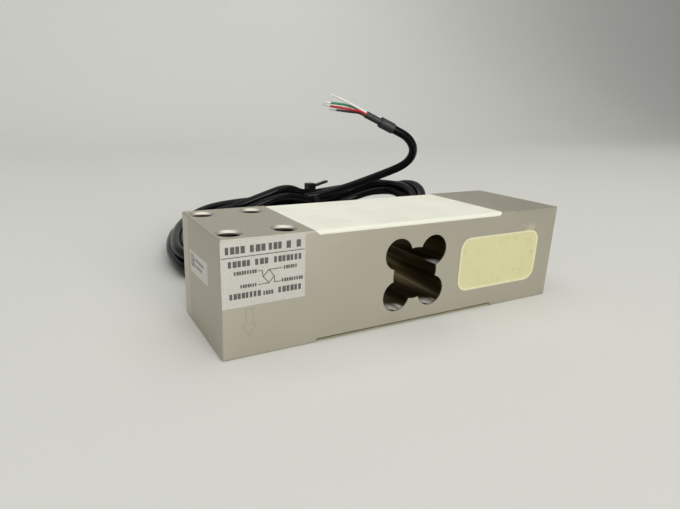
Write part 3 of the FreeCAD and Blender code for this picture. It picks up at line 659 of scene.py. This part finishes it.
TOP, RIGHT, BOTTOM, LEFT = (-58.9, 28.9), (-57.2, 26.6), (-59.0, 24.5), (-61.0, 26.8)
diagram = strokes([
    [(-74.4, 34.2), (-46.6, 34.2)],
    [TOP, RIGHT, BOTTOM, LEFT, TOP],
    [TOP, (-54.6, 28.95)], [BOTTOM, (-62.6, 24.4)],
    [LEFT, (-61.25, 28.9), (-62.6, 28.9)], [RIGHT, (-57.05, 24.5), (-55.0, 24.5)],
], STROKE)
lines_print = printed("label_lines", diagram, on_front)
ink.on(lines_print)

words = printed("label_bars", letters([
    (-73.2, -66.6, 35.3, 37.6), (-65.2, -59.6, 35.3, 37.6), (-59.0, -54.2, 35.3, 37.6),
    (-52.9, -50.6, 35.2, 37.6), (-49.4, -47.0, 35.2, 37.6),
    (-72.4, -64.8, 31.0, 33.0), (-63.6, -58.8, 31.0, 33.0), (-57.2, -47.2, 31.0, 33.0),
    (-70.6, -62.9, 28.4, 29.6), (-68.6, -63.0, 24.0, 25.1), (-53.9, -49.0, 28.4, 29.6), (-54.6, -46.8, 24.1, 25.3),
    (-72.2, -61.6, 20.6, 22.5), (-61.0, -57.4, 20.6, 22.0), (-55.8, -47.2, 20.6, 22.6),
]), on_front)
grey_ink.on(words)

# ---------------------------------------------------------------- load mark
# A down arrow lightly cut in the front of the loaded end, below the label: it shows which way the
# load acts, and its lines are a little darker than the face.

mark = Finish("cut_mark", Metallic=1.0, Roughness=0.5)
burr = mark.noise(1200.0, 2.0)
mark.set(Base_Color=mark.mix(burr, (0.37, 0.35, 0.29), (0.43, 0.41, 0.34)))
outline = strokes([[
    (-66.9, 16.9), (-66.9, 11.3), (-68.3, 11.3), (-65.8, 7.6), (-63.4, 11.3), (-64.6, 11.3), (-64.6, 16.9),
    (-66.9, 16.9),
]], 0.24)
arrow = printed("load_arrow", outline, lambda points: np.insert(points, 1, FRONT - MARK_LIFT, axis=1))
mark.on(arrow)

# ---------------------------------------------------------------- end sticker
# A small white paper sticker on the end face, with a square field of dark specks and two grey bars.

paper_white = Finish("sticker_paper", Roughness=0.6, Specular_IOR_Level=0.3)
fibre = paper_white.noise(1400.0, 3.0)
blank = paper_white.mix(fibre, (0.60, 0.60, 0.56), (0.70, 0.70, 0.66))


def printed_area(low_y, high_y, low_z, high_z):
    """One inside a rectangle of the sticker, in millimetres, and nothing outside."""
    along = paper_white.band(paper_white.y, (low_y + high_y) / 2 * MM, (high_y - low_y) / 2 * MM, 0.1 * MM)
    return along * paper_white.band(paper_white.z, (low_z + high_z) / 2 * MM, (high_z - low_z) / 2 * MM, 0.1 * MM)


specks = paper_white.step(paper_white.noise(2300.0, 1.0), 0.45, 0.53)
field = printed_area(6.4, 10.9, 22.9, 27.4) * specks
grey_bars = printed_area(-4.6, 5.4, 25.6, 26.8) + printed_area(-2.8, 5.4, 23.4, 24.6)
sticker_print = paper_white.mix(grey_bars * 0.65, blank, (0.16, 0.15, 0.15))
paper_white.set(Base_Color=paper_white.mix(field * 0.9, sticker_print, (0.05, 0.05, 0.05)))
paper_white.bump(fibre, 0.00002, 0.3)
paper_white.on(nodes["end_label"])

# ---------------------------------------------------------------- cable seal and tie
# A moulded rubber seal grips the cable where it leaves the back face; a nylon tie holds the coil.

rubber = Finish("seal_rubber", Roughness=0.62)
bloom = rubber.noise(300.0, 4.0)
rubber.set(
    Base_Color=rubber.mix(bloom, (0.012, 0.012, 0.012), (0.030, 0.030, 0.029)),
    Roughness=rubber.step(bloom, 0.3, 0.7, 0.55, 0.75),
)
rubber.bump(bloom, 0.00006, 0.5)
rubber.on(nodes["cable_seal"])

nylon = Finish("tie_nylon", Specular_IOR_Level=0.16)
rib_pattern = {"Vector": nylon.place, "Scale": 300.0, "Distortion": 0.2}
ribs = nylon.make("ShaderNodeTexWave", {"bands_direction": "X"}, rib_pattern)
scuff = nylon.noise(500.0, 3.0)
nylon.set(
    Base_Color=nylon.mix(scuff, (0.002, 0.002, 0.002), (0.006, 0.006, 0.007)),
    Roughness=nylon.step(scuff, 0.3, 0.7, 0.3, 0.5),
)
nylon.bump(ribs * 0.3 + scuff * 0.4, 0.00005, 0.5)
nylon.on(nodes["cable_tie"])

# ---------------------------------------------------------------- heat shrink
# Two black sleeves: a short wide one over the end of the jacket and a longer thin one over the bundle
# of cores. Shrinking leaves them satin, with soft wrinkles.

shrink = Finish("heat_shrink", Roughness=0.5)
wrinkle = shrink.noise(700.0, 3.0)
shrink.set(
    Base_Color=shrink.mix(wrinkle, (0.010, 0.010, 0.010), (0.024, 0.024, 0.024)),
    Roughness=shrink.step(wrinkle, 0.3, 0.7, 0.42, 0.62),
)
shrink.bump(wrinkle, 0.00015, 0.6)
shrink.on(nodes["outer_heat_shrink"], nodes["inner_heat_shrink"])

# ---------------------------------------------------------------- conductors
# Four cores in coloured insulation and the bare drain wire, fanned out at the stripped end; their
# strands are tinned at the tips.

CORE_COLOURS = {
    "white_conductor": (0.72, 0.73, 0.70), "green_conductor": (0.015, 0.20, 0.075),
    "red_conductor": (0.42, 0.012, 0.018), "black_conductor": (0.014, 0.014, 0.015),
}
for name, colour in CORE_COLOURS.items():
    core = Finish(name, Roughness=0.3)
    rub = core.noise(900.0, 3.0)
    core.set(
        Base_Color=core.mix(core.step(rub, 0.4, 0.8) * 0.35, colour, tuple(0.6 * part for part in colour)),
        Roughness=core.step(rub, 0.3, 0.7, 0.25, 0.4),
    )
    core.bump(rub, 0.00003, 0.5)
    core.on(nodes[name])

tinned = Finish("tinned_copper", Metallic=1.0, Roughness=0.3)
strands = tinned.noise(1.0, 2.0, 0.5, tinned.stretched(400.0, 2600.0, 2600.0))
tinned.set(
    Base_Color=tinned.mix(strands, (0.42, 0.40, 0.37), (0.72, 0.70, 0.66)),
    Roughness=tinned.step(strands, 0.3, 0.7, 0.25, 0.45),
)
tinned.bump(strands, 0.0001, 0.8)
tinned.on(nodes["drain_wire"], nodes["tinned_ends"])

# ---------------------------------------------------------------- gauges and wiring
# Under the sealant and the potting: polyimide gauges, enamelled leads, a glass-epoxy board with
# ceramic resistors, and the ends of the cable's cores.

INNER = {
    "gauge_film": ((0.50, 0.30, 0.08), (0.64, 0.42, 0.14), 0.35, 0.0, [
        f"strain_gauge_{side}_{end}" for side in ("upper", "lower") for end in ("loaded", "fixed")
    ]),
    "enamelled_copper": (
        (0.52, 0.20, 0.07), (0.72, 0.34, 0.14), 0.3, 0.8, ["upper_gauge_leads", "lower_gauge_leads"],
    ),
    "glass_epoxy": ((0.02, 0.16, 0.07), (0.05, 0.26, 0.12), 0.4, 0.0, ["terminal_board"]),
    "dark_ceramic": ((0.04, 0.04, 0.04), (0.10, 0.10, 0.09), 0.5, 0.0, ["trim_resistors"]),
    "core_insulation": ((0.30, 0.04, 0.04), (0.46, 0.07, 0.06), 0.4, 0.0, ["core_ends"]),
}
for name, (first, second, roughness, metallic, covered) in INNER.items():
    inner = Finish(name, Metallic=metallic)
    weave = inner.noise(1600.0, 3.0)
    inner.set(
        Base_Color=inner.mix(weave, first, second),
        Roughness=inner.step(weave, 0.2, 0.8, roughness, roughness + 0.2),
    )
    inner.on(*(nodes[node] for node in covered))

bpy.context.view_layer.update()
